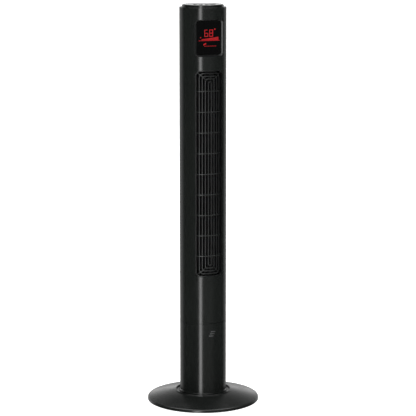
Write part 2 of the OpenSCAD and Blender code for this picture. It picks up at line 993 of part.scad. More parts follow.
// The bevelled frame that lines the display pocket, from the round housing to the flat window
module display_bezel() {
    steps = 10;
    mid = pocket_z + pocket_h / 2;
    back_y = window_y - 3.5;
    outer = rounded(pocket_w - 0.2, pocket_h - 0.2, pocket_corner - 0.1, steps);
    inner = rounded(window_w, window_h, window_corner, steps);
    n = len(outer);
    points = concat(on_cylinder(outer, column_r - 0.05, mid), on_plane(inner, window_y, mid),
        on_plane(inner, back_y, mid), on_plane(outer, back_y, mid));
    faces = [for (j = [0:3], i = [0:n - 1], half = [0, 1])
        let (near = j * n, far = (j + 1) % 4 * n, next = (i + 1) % n,
            a = near + i, b = near + next, c = far + next, d = far + i)
        half == 0 ? [a, b, c] : [a, c, d]];
    color(black)
        polyhedron(points, faces, convexity = 6);
}

// The lit marks: each is [left, right, bottom, top] from the window's middle
digit_half = 5.8;
digit_bottom = 3.8;
digit_h = 20.6;
stroke = 2.1;
stroke_gap = 0.15;
six_x = -8;
eight_x = 7.1;

// Strokes of a seven-part digit; the upper right stroke is optional
function digit(x, upper_right) = let (
        x0 = x - digit_half, x1 = x + digit_half, z0 = digit_bottom, z1 = digit_bottom + digit_h,
        zm = (z0 + z1) / 2, s = stroke, g = stroke_gap) concat(
    [for (z = [z0, zm - s / 2, z1 - s]) [x0 + s, x1 - s, z, z + s]],
    [[x0, x0 + s - g, z0, zm - g], [x0, x0 + s - g, zm + g, z1]],
    [[x1 - s + g, x1, z0, zm - g]],
    upper_right ? [[x1 - s + g, x1, zm + g, z1]] : []);

meter_bars = 14;
meter_left = -22.3;
meter_pitch = 3.75;
lit_marks = concat(
    digit(six_x, false), digit(eight_x, true),
    [[16.6, 20.4, 23.6, 27.2]],
    [for (i = [0:meter_bars - 1]) let (x = meter_left + meter_pitch * i)
        [x, x + 2.8, -6.4, -3.2 + 6 * i / (meter_bars - 1)]],
    [[-31.5, 33.6, -8.2, -7]],
    [[-27, -24, 0.2, 3]],
    [for (i = [0:2]) let (x = -16.9 + 2.9 * i) [x, x + 2.5, -21.4 + 1.4 * i, -17.2 + 1.4 * i]],
    [for (i = [0:10]) let (x = -14 + 3.4 * i) [x, x + 2.5, -24.4, -23]]);

module marks(y0, y1) {
    for (m = lit_marks)
        translate([m[0], -y1, pocket_z + pocket_h / 2 + m[2]])
            cube([m[1] - m[0], y1 - y0, m[3] - m[2]]);
}

module display_segments() {
    color(red)
        marks(window_y - 0.7, window_y + 0.05);
}

module display_window() {
    color([0.02, 0.02, 0.02])
        difference() {
            translate([0, window_t - window_y, pocket_z + pocket_h / 2])
                rotate([90, 0, 0])
                    linear_extrude(window_t)
                        polygon(rounded(window_w - 0.3, window_h - 0.3, window_corner - 0.15));
            marks(window_y - 0.7, window_y + 1);
        }
}

// The display's circuit board, with the lamp block and a receiver that reach to the window
module display_board() {
    mid = pocket_z + pocket_h / 2;
    front = window_y - window_t - 0.2;
    board_y = 46;
    color("darkgreen") {
        translate([-40.5, -board_y, mid - 41])
            cube([81, board_t, 82]);
        translate([-22, -front, mid - 30])
            cube([44, front - board_y + 0.1, 66]);
        translate([25, -front, mid - 38])
            cube([6, front - board_y + 0.1, 8]);
    }
}

// ---------------------------------------------------------------- top

// Places its children at the control board's screws
module at_board_screws() {
    for (i = [0:3])
        rotate([0, 0, 45 + 90 * i])
            translate([board_screw_r, 0, 0])
                children();
}

module top_deck() {
    color(black)
        difference() {
            union() {
                rotate_extrude()
                    polygon([[lip_r, shell_top], [column_r, shell_top], [column_r, deck_top - 1.2],
                        [column_r - 0.4, deck_top - 0.4], [column_r - 1.2, deck_top], [lip_r, deck_top]]);
                ring(bore - 2.2, bore - 0.1, shell_top - 11, shell_top + 0.5);
                at_board_screws()
                    translate([0, 0, board_z + board_t])
                        cylinder(r = 3, h = shell_top - board_z - 1);
            }
            at_board_screws()
                translate([0, 0, board_z])
                    cylinder(r = 1.3, h = 9);
        }
}

module top_cap() {
    color(black)
        rotate_extrude()
            polygon([[cap_r, deck_top], [cap_r, cap_face - 3.6], [cap_r - 0.6, cap_face - 1.9],
                [cap_r - 2, cap_face - 0.6], [cap_r - 4.2, cap_face], [panel_r + 0.1, cap_face],
                [panel_r + 0.1, cap_face - 2], [lip_r, cap_face - 2], [lip_r, cap_face - 4],
                [cap_r - wall, cap_face - 4], [cap_r - wall, deck_top]]);
}

function button_azimuth(i) = (i - 2) * button_angle;

module control_panel() {
    color(black)
        difference() {
            ring(0, panel_r, cap_face - 2, cap_face - 0.1);
            for (i = [0:4])
                at_azimuth(button_azimuth(i), button_circle_r)
                    translate([0, 0, total_h - 10])
                        cylinder(r = button_r + 0.3, h = 20);
        }
}

module control_board() {
    color("darkgreen")
        difference() {
            union() {
                ring(0, 60, board_z, board_z + board_t);
                translate([-22, 8, board_z + board_t - 0.1])
                    cube([20, 20, 9]);
                translate([4, 14, board_z + board_t - 0.1])
                    cube([16, 12, 7]);
                translate([14, 36, board_z + board_t - 0.1])
                    cylinder(r = 5, h = 8);
            }
            at_board_screws()
                translate([0, 0, board_z - 1])
                    cylinder(r = 1.5, h = 5);
        }
}

module tact_switches() {
    color("dimgray")
        for (i = [0:4])
            at_azimuth(button_azimuth(i), button_circle_r)
                union() {
                    translate([-3, -3, board_z + board_t])
                        cube([6, 6, 3.5]);
                    translate([0, 0, board_z + 5])
                        cylinder(r = 1.7, h = 1.3);
                }
}

// A push button: cap, retaining flange and stem
module push_button(i) {
    flange_top = cap_face - 2.3;
    color(dark)
        at_azimuth(button_azimuth(i), button_circle_r)
            rotate_extrude()
                polygon([[0, board_z + 7.5], [2, board_z + 7.5], [2, flange_top - 1.2],
                    [button_r + 1, flange_top - 1.2], [button_r + 1, flange_top], [button_r, flange_top],
                    [button_r, total_h - 0.5], [button_r - 0.5, total_h], [0, total_h]]);
}

module power_button() {
    push_button(2);
}

module speed_button() {
    push_button(1);
}

module mode_button() {
    push_button(0);
}

module timer_button() {
    push_button(3);
}

module swing_button() {
    push_button(4);
}

// The badge, a plain mark for moving air: three stepped bars from radius r0 to r1, grown by a margin
module badge_bars(r0, r1, margin) {
    turn = margin / column_r * 180 / PI;
    for (i = [0:2]) {
        z = badge_z + badge_pitch * i;
        left = badge_left + badge_step * i;
        sector(r0, r1, z - margin, z + badge_bar_h + margin, left - turn, left + badge_span + turn);
    }
}

module badge() {
    color("silver")
        badge_bars(column_r - 0.3, column_r + badge_proud, 0);
}

// A finger recess for carrying, set into the back below the top
module carry_handle() {
    color(dark)
        difference() {
            intersection() {
                translate([-handle_w / 2 - 3, handle_back, handle_z - 3])
                    cube([handle_w + 6, 40, recess_h]);
                cylinder(r = bore - 0.1, h = total_h);
            }
            translate([wall - handle_w / 2 - 3, handle_back + wall, handle_z + wall - 3])
                cube([handle_w + 6 - 2 * wall, 40, recess_h - 2 * wall]);
        }
}

// ---------------------------------------------------------------- assembly

base_cover();
base_plate();
base_weight();
rubber_feet();
base_screws();
bearing_hub();
lower_race();
swing_gear();
pivot_spindle();
pivot_washer();
pivot_screw();
ball_cage();
bearing_balls();
swing_pinion();
column_foot();
upper_race();
lower_housing();
housing_screws();
swing_motor();
cord_gland();
joining_ring();
front_shell();
rear_shell();
shell_screws();
front_grille();
intake_grille();
volute();
vortex_wall();
duct_base_plate();
duct_top_plate();
bearing_bushes();
bearing_grommet();
motor_lower_bell();
motor_upper_bell();
motor_stator();
motor_windings();
motor_bracket();
motor_dampers();
run_capacitor();
wiring_harness();
impeller();
motor_shaft();
motor_rotor();
stub_shaft();
display_bezel();
display_window();
display_segments();
display_board();
top_deck();
top_cap();
control_panel();
control_board();
tact_switches();
badge();
carry_handle();
power_button();
speed_button();
mode_button();
timer_button();
swing_button();
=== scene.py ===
"""Looks of a slim oscillating tower fan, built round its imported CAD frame.

Lengths are in millimetres until a mesh is built. An azimuth is in degrees about the column from the
front (-Y), positive towards +X. Depths run inwards from a surface.
"""

import math

import bmesh
import bpy
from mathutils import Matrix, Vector

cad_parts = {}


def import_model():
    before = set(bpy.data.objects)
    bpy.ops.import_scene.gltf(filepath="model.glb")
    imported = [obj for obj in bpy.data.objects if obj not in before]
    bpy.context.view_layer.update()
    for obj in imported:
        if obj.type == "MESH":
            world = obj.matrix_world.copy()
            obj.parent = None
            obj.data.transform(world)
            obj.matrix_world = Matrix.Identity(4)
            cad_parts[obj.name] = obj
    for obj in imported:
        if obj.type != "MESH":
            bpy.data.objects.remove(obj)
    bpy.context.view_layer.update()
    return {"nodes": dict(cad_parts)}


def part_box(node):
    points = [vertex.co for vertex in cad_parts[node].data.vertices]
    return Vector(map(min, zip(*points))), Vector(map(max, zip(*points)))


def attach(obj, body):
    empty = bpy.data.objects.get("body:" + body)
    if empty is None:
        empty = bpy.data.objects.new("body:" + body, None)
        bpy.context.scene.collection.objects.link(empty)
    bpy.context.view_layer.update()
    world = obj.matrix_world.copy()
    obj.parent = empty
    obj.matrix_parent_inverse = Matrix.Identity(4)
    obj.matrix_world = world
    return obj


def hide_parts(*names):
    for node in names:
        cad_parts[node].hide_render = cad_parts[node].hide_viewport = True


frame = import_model()


def span(node):
    """Lowest and highest corner of a CAD node, in millimetres."""
    low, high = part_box(node)
    return [1000 * v for v in low], [1000 * v for v in high]


# ---------------------------------------------------------------- sizes, from the frame

WALL = 2.4
COLUMN_R = span("front_shell")[1][0]
BORE = COLUMN_R - WALL
SHELL_LOW, SHELL_TOP = span("front_shell")[0][2], span("front_shell")[1][2]
HOUSING_LOW, HOUSING_TOP = span("lower_housing")[0][2], span("lower_housing")[1][2]
SHOE_R = span("lower_housing")[1][0]
BASE_R = span("base_cover")[1][0]
SKIRT_Z, COLLAR_H = span("base_cover")[0][2], span("base_cover")[1][2]
COLLAR_R = BASE_R / 2 - 0.25
COLLAR_BORE = COLLAR_R - 2.8
SLOPE_H = COLLAR_H - 2.8
RIM_H = 10.4
RIM_SOFT = 4.2
DECK_TOP = span("top_deck")[1][2]
CAP_R, CAP_FACE = span("top_cap")[1][0], span("top_cap")[1][2]
PANEL_R = span("control_panel")[1][0]
PANEL_LOW, PANEL_TOP = span("control_panel")[0][2], span("control_panel")[1][2]
TOP = span("power_button")[1][2]
BUTTON_R, BUTTON_CIRCLE = 6.5, 34
BUTTON_STEP = 30
BUTTONS = ["mode", "speed", "power", "timer", "swing"]

FLANGE = 4
OUTLET_LOW = span("front_grille")[0][2] + FLANGE
OUTLET_H = span("front_grille")[1][2] - FLANGE - OUTLET_LOW
OUTLET_MID = OUTLET_LOW + OUTLET_H / 2
OUTLET_W, INTAKE_W = 85.6, 110.3
OUTLET_CORNER = 15
SLAT_R, SLAT_DEPTH, SLAT_T, SLAT_SOFT = 64, 8, 4, 1.7
RIB_BACK, RIB_R, RIB_T = SLAT_R - 4, SLAT_R + 0.4, 2.4
SLAT_ANGLE, LOOPS, LOOP_STEP = 8.4, 4, 8.4
CROSSBARS = 9
INTAKE_PAIRS = 6

WINDOW_Y = -span("display_window")[0][1]
WINDOW_W, WINDOW_CORNER = 2 * span("display_window")[1][0] + 0.3, 9
WINDOW_H = span("display_window")[1][2] - span("display_window")[0][2] + 0.3
POCKET_W, POCKET_CORNER = 2 * span("display_bezel")[1][0] + 0.2, 12
POCKET_H = span("display_bezel")[1][2] - span("display_bezel")[0][2] + 0.2
POCKET_MID = (span("display_bezel")[0][2] + span("display_bezel")[1][2]) / 2

HANDLE_W, HANDLE_H, HANDLE_CORNER = 90, 40, 14
HANDLE_MID = span("carry_handle")[0][2] + 3 + HANDLE_H / 2
GLAND_Z = (span("cord_gland")[0][2] + span("cord_gland")[1][2]) / 2
SCREW_AZIMUTHS = [100, 150, 210, 260]
SCREW_LEVELS = [HOUSING_LOW + 9, SHELL_LOW - 9.4, SHELL_LOW + 8.6]
SCREW_HEAD_R = 3.4
WELL_X, WELL_R = 60.4, 3.6
# the ends of the grid patch round each row of wells
WELL_AZIMUTHS = {WELL_X: (233, 248.5), -WELL_X: (111.5, 127)}
WELL_LEVELS = [275, 345, 1045, 1165]
BADGE_LOW, BADGE_BAR, BADGE_PITCH = span("badge")[0][2], 3.6, 6.5

# how far a grid patch reaches past the opening inside it
BORDER = 4

# ---------------------------------------------------------------- mesh building

# lengths that a rounded rectangle's sides are cut into
UPRIGHT_STEP, LEVEL_STEP = 60, 4


class Solid:
    """Points in millimetres and faces between rows of them, made into one closed mesh."""

    def __init__(self):
        self.points = []
        self.faces = []

    def row(self, points):
        """Adds points and returns their numbers."""
        first = len(self.points)
        self.points.extend(points)
        return list(range(first, len(self.points)))

    def band(self, a, b, closed=True):
        """Quads between two rows of the same length."""
        count = len(a)
        for i in range(count if closed else count - 1):
            j = (i + 1) % count
            self.faces.append((a[i], a[j], b[j], b[i]))

    def skin(self, rows, looped=False):
        """A tube through closed rows: looped joins its ends, and otherwise both are capped."""
        made = [self.row(row) for row in rows]
        for a, b in zip(made, made[1:]):
            self.band(a, b)
        if looped:
            self.band(made[-1], made[0])
        else:
            self.faces.append(tuple(reversed(made[0])))
            self.faces.append(tuple(made[-1]))


def piece(solid, name, body, slot, *nodes, sharp=32):
    """Makes the solid an object that rides on a body, wears a slot's material and replaces CAD nodes."""
    mesh = bpy.data.meshes.new(name)
    mesh.from_pydata([[v / 1000 for v in p] for p in solid.points], [], solid.faces)
    work = bmesh.new()
    work.from_mesh(mesh)
    bmesh.ops.recalc_face_normals(work, faces=work.faces)
    work.to_mesh(mesh)
    work.free()
    mesh.shade_smooth()
    mesh.set_sharp_from_angle(angle=math.radians(sharp))
    made = bpy.data.objects.new(name, mesh)
    bpy.context.scene.collection.objects.link(made)
    mesh.materials.append(materials[slot])
    shade = made.modifiers.new("even_shading", "WEIGHTED_NORMAL")
    shade.keep_sharp = True
    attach(made, body)
    if nodes:
        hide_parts(*nodes)
    return made


def softened(corners, steps=4):
    """A closed outline through corners (x, y, softness), rounded off from that far before to as far after."""
    outline = []
    for i, (x, y, soft) in enumerate(corners):
        corner = Vector((x, y))
        if soft == 0:
            outline.append((x, y))
            continue
        before = Vector(corners[i - 1][:2])
        after = Vector(corners[(i + 1) % len(corners)][:2])
        start = corner + (before - corner).normalized() * soft
        end = corner + (after - corner).normalized() * soft
        for k in range(steps + 1):
            t = k / steps
            outline.append(tuple((1 - t) ** 2 * start + 2 * t * (1 - t) * corner + t * t * end))
    return outline


def polar(r, azimuth, z):
    """The point at radius r, an azimuth and a height."""
    a = math.radians(azimuth)
    return (r * math.sin(a), -r * math.cos(a), z)


def lathed(solid, profile, steps=240):
    """Turns a closed profile (r, z) about the column's axis."""
    turns = [360 * i / steps for i in range(steps)]
    solid.skin([[polar(r, a, z) for r, z in profile] for a in turns], looped=True)


def turned(solid, profile, place, steps=48):
    """Turns an open profile (r, height) about an axis, capping both ends. place maps (x, y, height)."""
    rows = []
    for r, height in profile:
        angles = [math.tau * i / steps for i in range(steps)]
        rows.append([place(r * math.cos(a), r * math.sin(a), height) for a in angles])
    solid.skin(rows)


def on_column(x, z, r, facing=0):
    """The point of the cylinder of radius r that is x to the side, as seen square on from an azimuth."""
    azimuth = facing + math.degrees(math.asin(max(-1, min(1, x / r))))
    return polar(r, azimuth, z)


def rounded(w, h, corner, inset=0, across=None, arc_steps=8):
    """Rectangle with round corners as (x, z) about its middle. across is the pieces of a level side."""
    flat_w, flat_h = w / 2 - corner, h / 2 - corner
    r = corner - inset
    outline = []
    for turn, (sx, sz) in enumerate([(1, 1), (-1, 1), (-1, -1), (1, -1)]):
        for k in range(arc_steps + 1):
            a = math.radians(90 * (turn + k / arc_steps))
            outline.append((sx * flat_w + r * math.cos(a), sz * flat_h + r * math.sin(a)))
        x, z = outline[-1]
        dx, dz = [(-1, 0), (0, -1), (1, 0), (0, 1)][turn]
        if turn % 2 == 0:
            length = 2 * flat_w
            count = across or max(1, round(length / LEVEL_STEP))
        else:
            length = 2 * flat_h
            count = max(1, round(length / UPRIGHT_STEP))
        for k in range(1, count):
            outline.append((x + dx * length * k / count, z + dz * length * k / count))
    return outline


def framed(solid, size, section, middle, facing=0):
    """Sweeps a closed section of (inset, radius) points round a rectangle (w, h, corner) on the column."""
    rows = []
    for inset, r in section:
        outline = rounded(*size, inset)
        rows.append([on_column(x, middle + z, r, facing) for x, z in outline])
    solid.skin(rows, looped=True)


def bar(solid, start, end, half, r_back, r_front, facing=0, soft=0.45, step=4):
    """A straight rib on the column between two points (x, z), half wide each way, with a softened front."""
    run = Vector(end) - Vector(start)
    side = Vector((-run.y, run.x)).normalized()
    section = [(-half, r_back), (-half, r_front - soft), (soft - half, r_front), (half - soft, r_front),
               (half, r_front - soft), (half, r_back)]
    count = max(2, round(run.length / step))
    rows = []
    for k in range(count + 1):
        at = Vector(start) + run * k / count
        rows.append([on_column(*(at + side * across), r, facing) for across, r in section])
    solid.skin(rows)


QUARTER = [0, 45, 90]


class Opening:
    """A round-cornered hole on a plate, inside a patch of its grid.

    patch is (low u, high u, low v, high v). flat turns (u, v) to the hole's own (x, y) about its
    middle, and back turns (x, y, depth) to (u, v). half_w and half_h reach its straight sides.
    """

    def __init__(self, patch, half_w, half_h, corner, flat, back):
        self.patch = patch
        self.corner = corner
        self.inner = (half_w - corner, half_h - corner)
        self.flat = flat
        self.back = back

    def rim(self, u, v, grow, depth):
        """The rim's point nearest to grid point u, v, for the hole made larger by grow."""
        x, y = self.flat(u, v)
        cx = max(-self.inner[0], min(self.inner[0], x))
        cy = max(-self.inner[1], min(self.inner[1], y))
        away = Vector((x - cx, y - cy)).normalized() * (self.corner + grow)
        return self.back(cx + away.x, cy + away.y, depth)


def column_opening(facing, azimuths, reach, middle, size, x_mid=0):
    """An opening of size (w, h, corner) cut square through the column's wall, seen from azimuth facing.

    Its patch of the grid runs between two azimuths, and up and down from the middle by reach.
    """

    def flat(u, v):
        return COLUMN_R * math.sin(math.radians(u - facing)) - x_mid, v - middle

    def back(x, y, depth):
        return facing + math.degrees(math.asin((x + x_mid) / (COLUMN_R - depth))), middle + y

    w, h, corner = size
    patch = (*azimuths, middle - reach, middle + reach)
    return Opening(patch, w / 2, h / 2, corner, flat, back)


def round_size(r):
    """The size (w, h, corner) of a round opening."""
    return 2 * r, 2 * r, r


def beside(middle, half):
    """The two ends of a patch that reaches half to each side of its middle."""
    return middle - half, middle + half


def lines(stops):
    """Grid lines from stops (position, step): each stretch is cut evenly by about its step."""
    made = []
    for (a, step), (b, _) in zip(stops, stops[1:]):
        count = max(1, math.ceil((b - a) / step - 1e-6))
        made.extend(a + (b - a) * k / count for k in range(count))
    return made + [stops[-1][0]]


def grid_plate(us, vs, openings, place, thickness, soft, per_mm, wraps=False, filled=False):
    """A closed plate over grid lines us and vs with soft-edged openings.

    place(u, v, depth) gives a point, and per_mm is how much u and v change for a millimetre. wraps
    joins the last column to the first, and filled closes a disc's middle.
    """
    solid = Solid()
    last_u, last_v = len(us) - 1, len(vs) - 1

    def near(i, j, inward):
        """Grid point i, j, moved inwards where it lies on the plate's border."""
        du = 0 if wraps else inward * per_mm[0] * ((i == 0) - (i == last_u))
        first = j == 0 and not filled
        return us[i] + du, vs[j] + inward * per_mm[1] * (first - (j == last_v))

    def sheet(inward, depth):
        columns = []
        for i in range(len(us)):
            columns.append(solid.row([place(*near(i, j, inward), depth) for j in range(len(vs))]))
        return columns

    def index(values, wanted):
        return min(range(len(values)), key=lambda k: abs(values[k] - wanted))

    face, back = sheet(soft, 0), sheet(0, thickness)
    patches = []
    for hole in openings:
        u0, u1, v0, v1 = hole.patch
        patches.append((index(us, u0), index(us, u1), index(vs, v0), index(vs, v1)))
    for i in range(len(us) if wraps else last_u):
        n = (i + 1) % len(us)
        for j in range(last_v):
            if any(a <= i < b and c <= j < d for a, b, c, d in patches):
                continue
            solid.faces.append((face[i][j], face[n][j], face[n][j + 1], face[i][j + 1]))
            solid.faces.append((back[i][j], back[i][j + 1], back[n][j + 1], back[n][j]))

    def loop(a, b, c, d):
        """Grid places round a patch."""
        return ([(i, c) for i in range(a, b)] + [(b, j) for j in range(c, d)]
                + [(i, d) for i in range(b, a, -1)] + [(a, j) for j in range(d, c, -1)])

    rounds = [(1 - math.sin(math.radians(q)), 1 - math.cos(math.radians(q))) for q in QUARTER]
    if wraps:
        borders = [[(i, j) for i in range(len(us))] for j in (0, last_v)[filled:]]
    else:
        borders = [loop(0, last_u, 0, last_v)]
    if filled:
        solid.faces.append(tuple(column[0] for column in face))
        solid.faces.append(tuple(column[0] for column in reversed(back)))
    for border in borders:
        previous = [face[i][j] for i, j in border]
        for inward, depth in rounds[1:]:
            following = solid.row([place(*near(i, j, soft * inward), soft * depth) for i, j in border])
            solid.band(previous, following)
            previous = following
        solid.band(previous, [back[i][j] for i, j in border])
    for hole, patch in zip(openings, patches):
        ring = loop(*patch)
        previous = [face[i][j] for i, j in ring]
        for grow, depth in rounds + [(0, thickness / soft)]:
            rim = [hole.rim(us[i], vs[j], soft * grow, soft * depth) for i, j in ring]
            following = solid.row([place(u, v, soft * depth) for u, v in rim])
            solid.band(previous, following)
            previous = following
        solid.band(previous, [back[i][j] for i, j in ring])
    return solid


# degrees of azimuth and millimetres of height for a millimetre on the column's wall
PER_MM = (math.degrees(1 / COLUMN_R), 1)


def on_wall(u, v, depth):
    """The point of the column's wall at azimuth u and height v."""
    return polar(COLUMN_R - depth, u, v)


# ---------------------------------------------------------------- materials


def node_tree(name):
    """A new material with its nodes, links, main shader and object coordinates."""
    made = bpy.data.materials.new(name)
    made.use_nodes = True
    tree = made.node_tree
    shader = tree.nodes["Principled BSDF"]
    coordinates = tree.nodes.new("ShaderNodeTexCoord").outputs["Object"]
    return made, tree, shader, coordinates


def noise(tree, coordinates, scale, detail=3, stretch=(1, 1, 1)):
    """Noise whose pattern is stretched by dividing its scale along each axis."""
    mapping = tree.nodes.new("ShaderNodeMapping")
    mapping.inputs["Scale"].default_value = stretch
    tree.links.new(coordinates, mapping.inputs["Vector"])
    made = tree.nodes.new("ShaderNodeTexNoise")
    made.inputs["Scale"].default_value = scale
    made.inputs["Detail"].default_value = detail
    tree.links.new(mapping.outputs["Vector"], made.inputs["Vector"])
    return made.outputs["Fac"]


def spread(tree, value, low, high):
    """Maps noise from its usual range to low..high."""
    made = tree.nodes.new("ShaderNodeMapRange")
    made.inputs["From Min"].default_value = 0.3
    made.inputs["From Max"].default_value = 0.7
    made.inputs["To Min"].default_value = low
    made.inputs["To Max"].default_value = high
    tree.links.new(value, made.inputs["Value"])
    return made.outputs["Result"]


def two_tone(tree, value, first, second):
    """Blends two colours by a noise value."""
    ramp = tree.nodes.new("ShaderNodeValToRGB")
    ramp.color_ramp.elements[0].position = 0.3
    ramp.color_ramp.elements[1].position = 0.7
    ramp.color_ramp.elements[0].color = (*first, 1)
    ramp.color_ramp.elements[1].color = (*second, 1)
    tree.links.new(value, ramp.inputs["Fac"])
    return ramp.outputs["Color"]


def raised(tree, height, strength, distance):
    """A normal from a height pattern; distance is in metres."""
    bump = tree.nodes.new("ShaderNodeBump")
    bump.inputs["Strength"].default_value = strength
    bump.inputs["Distance"].default_value = distance
    tree.links.new(height, bump.inputs["Height"])
    return bump.outputs["Normal"]


def plastic(name, first, second, rough, grain=900, depth=0.00002, strength=0.25, ior=1.5):
    """Moulded plastic: clouded colour, wandering gloss and a fine moulded grain."""
    made, tree, shader, at = node_tree(name)
    tree.links.new(two_tone(tree, noise(tree, at, 7, 4), first, second), shader.inputs["Base Color"])
    tree.links.new(spread(tree, noise(tree, at, 26, 5), *rough), shader.inputs["Roughness"])
    tree.links.new(raised(tree, noise(tree, at, grain, 2), strength, depth), shader.inputs["Normal"])
    shader.inputs["IOR"].default_value = ior
    return made


def metal(name, first, second, rough, stretch=(1, 1, 12), scale=120):
    """Worked metal: tool marks that run one way, in colour, gloss and relief."""
    made, tree, shader, at = node_tree(name)
    shader.inputs["Metallic"].default_value = 1.0
    marks = noise(tree, at, scale, 5, stretch)
    tree.links.new(two_tone(tree, marks, first, second), shader.inputs["Base Color"])
    tree.links.new(spread(tree, marks, *rough), shader.inputs["Roughness"])
    scratches = noise(tree, at, scale * 5, 3, stretch)
    tree.links.new(raised(tree, scratches, 0.15, 0.00002), shader.inputs["Normal"])
    return made


def lit(name, colour, strength):
    """A lit plastic mark: its glow is a little uneven, as from a lamp behind a diffuser."""
    made, tree, shader, at = node_tree(name)
    shader.inputs["Base Color"].default_value = (0.02, 0.001, 0.001, 1)
    shader.inputs["Roughness"].default_value = 0.35
    glow = noise(tree, at, 260, 2)
    bright = tuple(min(1, 1.25 * c) for c in colour)
    tree.links.new(two_tone(tree, glow, colour, bright), shader.inputs["Emission Color"])
    power = spread(tree, noise(tree, at, 60, 2), strength * 0.8, strength)
    tree.links.new(power, shader.inputs["Emission Strength"])
    return made


def circuit(name):
    """Circuit board: green resist with paler copper tracks showing through."""
    made, tree, shader, at = node_tree(name)
    tracks = tree.nodes.new("ShaderNodeTexVoronoi")
    tracks.feature = "DISTANCE_TO_EDGE"
    tracks.distance = "EUCLIDEAN"
    tracks.inputs["Scale"].default_value = 220
    tree.links.new(at, tracks.inputs["Vector"])
    ramp = tree.nodes.new("ShaderNodeValToRGB")
    ramp.color_ramp.elements[0].position = 0.03
    ramp.color_ramp.elements[1].position = 0.09
    ramp.color_ramp.elements[0].color = (0.03, 0.16, 0.06, 1)
    ramp.color_ramp.elements[1].color = (0.01, 0.07, 0.03, 1)
    tree.links.new(tracks.outputs["Distance"], ramp.inputs["Fac"])
    tree.links.new(ramp.outputs["Color"], shader.inputs["Base Color"])
    tree.links.new(spread(tree, noise(tree, at, 90, 3), 0.25, 0.4), shader.inputs["Roughness"])
    return made


SATIN_BLACK = (0.0062, 0.0072, 0.0067), (0.0078, 0.0088, 0.0082)

materials = {
    "housing": plastic("housing_gloss", (0.0055, 0.0066, 0.006), (0.0066, 0.0078, 0.0071), (0.16, 0.21),
                       700, 0.000012, 0.12),
    "base_shell": plastic("base_satin", *SATIN_BLACK, (0.2, 0.27), 1100),
    "grille": plastic("grille_satin", (0.0075, 0.0083, 0.008), (0.0095, 0.0103, 0.01), (0.3, 0.38), 1200),
    "cap": plastic("cap_satin", *SATIN_BLACK, (0.16, 0.21), 1100),
    "control_panel": plastic("panel_gloss", (0.0045, 0.005, 0.0048), (0.0055, 0.006, 0.0058), (0.18, 0.23),
                             500, 0.00001, 0.1),
    "button": plastic("button_satin", (0.007, 0.0077, 0.0074), (0.009, 0.0098, 0.0094), (0.18, 0.24), 900),
    "window": plastic("window_smoke", (0.0004, 0.0005, 0.0005), (0.0007, 0.0008, 0.0008), (0.06, 0.1),
                      300, 0.000004, 0.05, 1.3),
    "lit_mark": lit("lit_red", (0.62, 0.012, 0.018), 0.75),
    "badge": metal("badge_silver", (0.34, 0.35, 0.35), (0.46, 0.47, 0.47), (0.28, 0.4), (14, 1, 1), 60),
    "inner_plastic": plastic("inner_black", (0.006, 0.0063, 0.0066), (0.01, 0.0104, 0.0108), (0.42, 0.55),
                             800),
    "nylon": plastic("nylon_natural", (0.55, 0.53, 0.46), (0.63, 0.61, 0.54), (0.35, 0.5), 600),
    "rubber": plastic("rubber_black", (0.008, 0.008, 0.008), (0.014, 0.014, 0.014), (0.68, 0.82),
                      1400, 0.00005, 0.5),
    "steel": metal("steel_zinc", (0.42, 0.43, 0.44), (0.6, 0.61, 0.62), (0.22, 0.36)),
    "ball_steel": metal("steel_polished", (0.6, 0.61, 0.62), (0.68, 0.69, 0.7), (0.06, 0.1), (1, 1, 1)),
    "bronze": metal("bronze_sintered", (0.38, 0.22, 0.09), (0.52, 0.33, 0.15), (0.35, 0.5), (1, 1, 1), 700),
    "motor_case": metal("motor_zinc", (0.36, 0.37, 0.38), (0.5, 0.51, 0.52), (0.32, 0.46), (1, 1, 1), 160),
    "lamination": metal("lamination_steel", (0.2, 0.21, 0.22), (0.34, 0.35, 0.36), (0.4, 0.55),
                        (1, 1, 40), 60),
    "copper": metal("copper_enamel", (0.5, 0.19, 0.07), (0.68, 0.29, 0.12), (0.25, 0.4), (1, 1, 30), 90),
    "weight": metal("cast_iron", (0.09, 0.09, 0.095), (0.16, 0.16, 0.165), (0.6, 0.8), (1, 1, 1), 240),
    "circuit_board": circuit("board_green"),
    "capacitor": plastic("capacitor_white", (0.6, 0.6, 0.57), (0.68, 0.68, 0.65), (0.4, 0.5), 500),
    "cable": plastic("cable_sleeve", (0.012, 0.012, 0.013), (0.02, 0.02, 0.021), (0.5, 0.62),
                     1600, 0.00006, 0.5),
}

# CAD nodes that are kept as they are wear the material of their own slot.
for node in frame["nodes"].values():
    slot_name = node.data.materials[0].name.split(".")[0]
    node.data.materials[0] = materials[slot_name]

# ---------------------------------------------------------------- base


def slope_z(r):
    """Height of the base's crowned cone at radius r."""
    inner, outer = COLLAR_R + 1.5, BASE_R - 2.9
    return SLOPE_H - (SLOPE_H - RIM_H) * max(0, (r - inner) / (outer - inner)) ** 1.15


